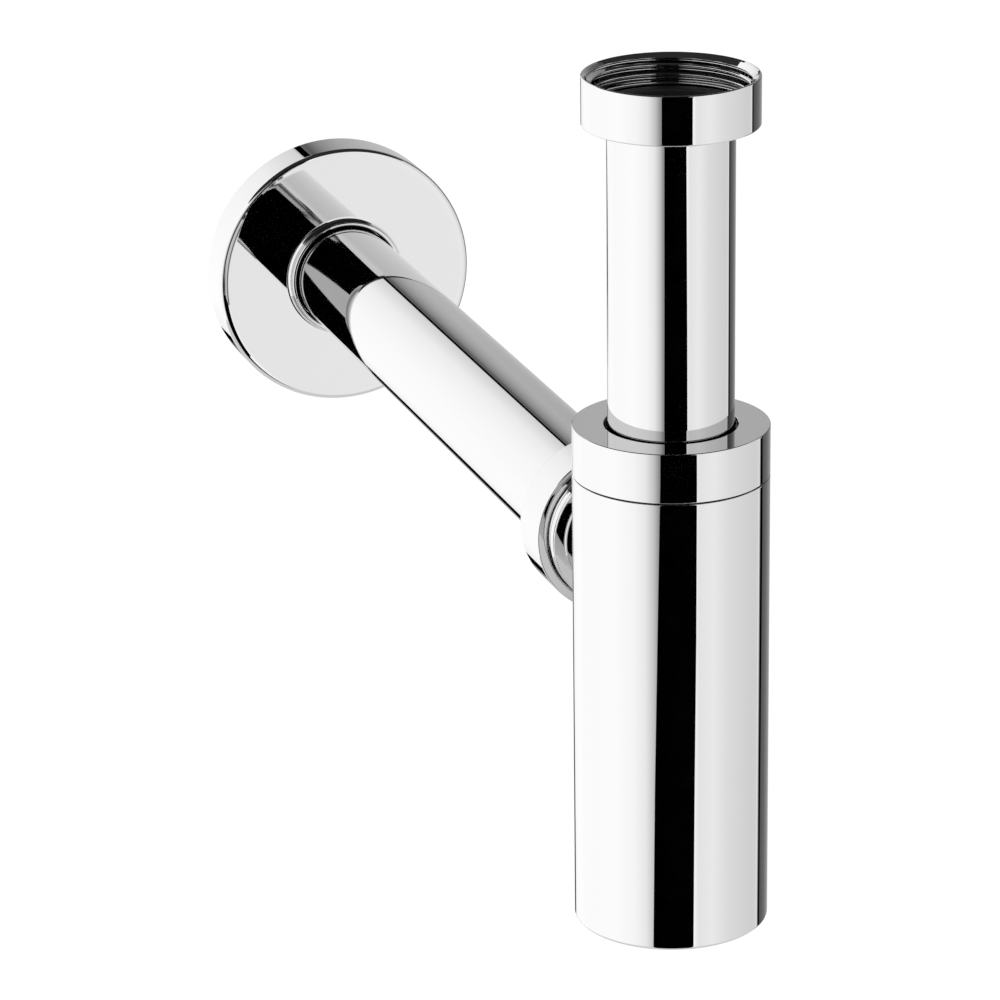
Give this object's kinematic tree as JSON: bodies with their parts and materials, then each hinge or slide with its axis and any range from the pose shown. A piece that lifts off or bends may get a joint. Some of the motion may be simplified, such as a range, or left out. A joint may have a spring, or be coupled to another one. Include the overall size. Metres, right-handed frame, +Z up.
{
  "type": "bottle trap",
  "caption": "Chrome bottle trap for a basin: dip tube into a cylindrical bottle, side outlet tube to the wall with a round rosette, threaded unions and a cleanout plug.",
  "frame": {"origin": "middle of the inlet nut's mouth, on the bottle's axis", "axes": "+Z up, out of the inlet nut towards the basin; +Y along the outlet tube towards the wall; +X across"},
  "size_m": [0.08, 0.366, 0.224],
  "materials": {
    "chrome": "polished chrome plate on brass",
    "brass": "machined, unplated inside",
    "rubber": "moulded black rubber",
    "slip_plastic": "matte black plastic"
  },
  "bodies": {
    "bottle": {"bottle_shell": "chrome", "bottle_neck": "brass", "bottle_base": "brass", "outlet_spigot": "chrome", "outlet_cone_seal": "rubber"},
    "swivel_seal": {"inlet_cone_seal": "rubber"},
    "dip_tube": {"inlet_tube": "chrome", "inlet_gasket": "rubber"},
    "inlet_union": {"inlet_nut": "chrome"},
    "collar_washer": {"collar_slip_washer": "slip_plastic"},
    "collar": {"collar_nut": "chrome"},
    "outlet_washer": {"outlet_slip_washer": "slip_plastic"},
    "outlet_union": {"outlet_nut": "chrome"},
    "wall_tube": {"outlet_tube": "chrome"},
    "rosette": {"wall_rosette": "chrome", "rosette_grip_ring": "rubber"},
    "plug_ring": {"cleanout_seal": "rubber"},
    "plug": {"cleanout_plug": "chrome"}
  },
  "joints": [
    {"name": "bottle_swivel", "type": "hinge", "parent": "bottle", "child": "swivel_seal", "pos_m": [0, 0, -0.0975], "axis": [0, 0, 1], "continuous": true},
    {"name": "inlet_height", "type": "slide", "parent": "swivel_seal", "child": "dip_tube", "axis": [0, 0, 1], "range_m": [-0.012, 0.06]},
    {"name": "inlet_nut_spin", "type": "hinge", "parent": "dip_tube", "child": "inlet_union", "pos_m": [0, 0, -0.0063], "axis": [0, 0, 1], "continuous": true},
    {"name": "collar_travel", "type": "slide", "parent": "bottle", "child": "collar_washer", "axis": [0, 0, 1], "range_m": [0, 0.009]},
    {"name": "collar_turn", "type": "hinge", "parent": "collar_washer", "child": "collar", "pos_m": [0, 0, -0.0965], "axis": [0, 0, 1], "range_deg": [0, 2160]},
    {"name": "outlet_nut_travel", "type": "slide", "parent": "bottle", "child": "outlet_washer", "axis": [0, 1, 0], "range_m": [0, 0.00924]},
    {"name": "outlet_nut_turn", "type": "hinge", "parent": "outlet_washer", "child": "outlet_union", "pos_m": [0, 0.0465, -0.1323], "axis": [0, 1, 0], "range_deg": [0, 1440]},
    {"name": "outlet_tube_pull", "type": "slide", "parent": "bottle", "child": "wall_tube", "axis": [0, 1, 0], "range_m": [0, 0.006]},
    {"name": "rosette_slide", "type": "slide", "parent": "wall_tube", "child": "rosette", "axis": [0, -1, 0], "range_m": [0, 0.2]},
    {"name": "plug_travel", "type": "slide", "parent": "bottle", "child": "plug_ring", "axis": [0, 0, -1], "range_m": [0, 0.006]},
    {"name": "plug_turn", "type": "hinge", "parent": "plug_ring", "child": "plug", "pos_m": [0, 0, -0.22], "axis": [0, 0, -1], "range_deg": [0, 1440]}
  ],
  "couplings": [
    {"joint": "collar_travel", "follows": "collar_turn", "m_per_rad": 0.00023873},
    {"joint": "outlet_nut_travel", "follows": "outlet_nut_turn", "m_per_rad": 0.00036749},
    {"joint": "plug_travel", "follows": "plug_turn", "m_per_rad": 0.00023873}
  ]
}
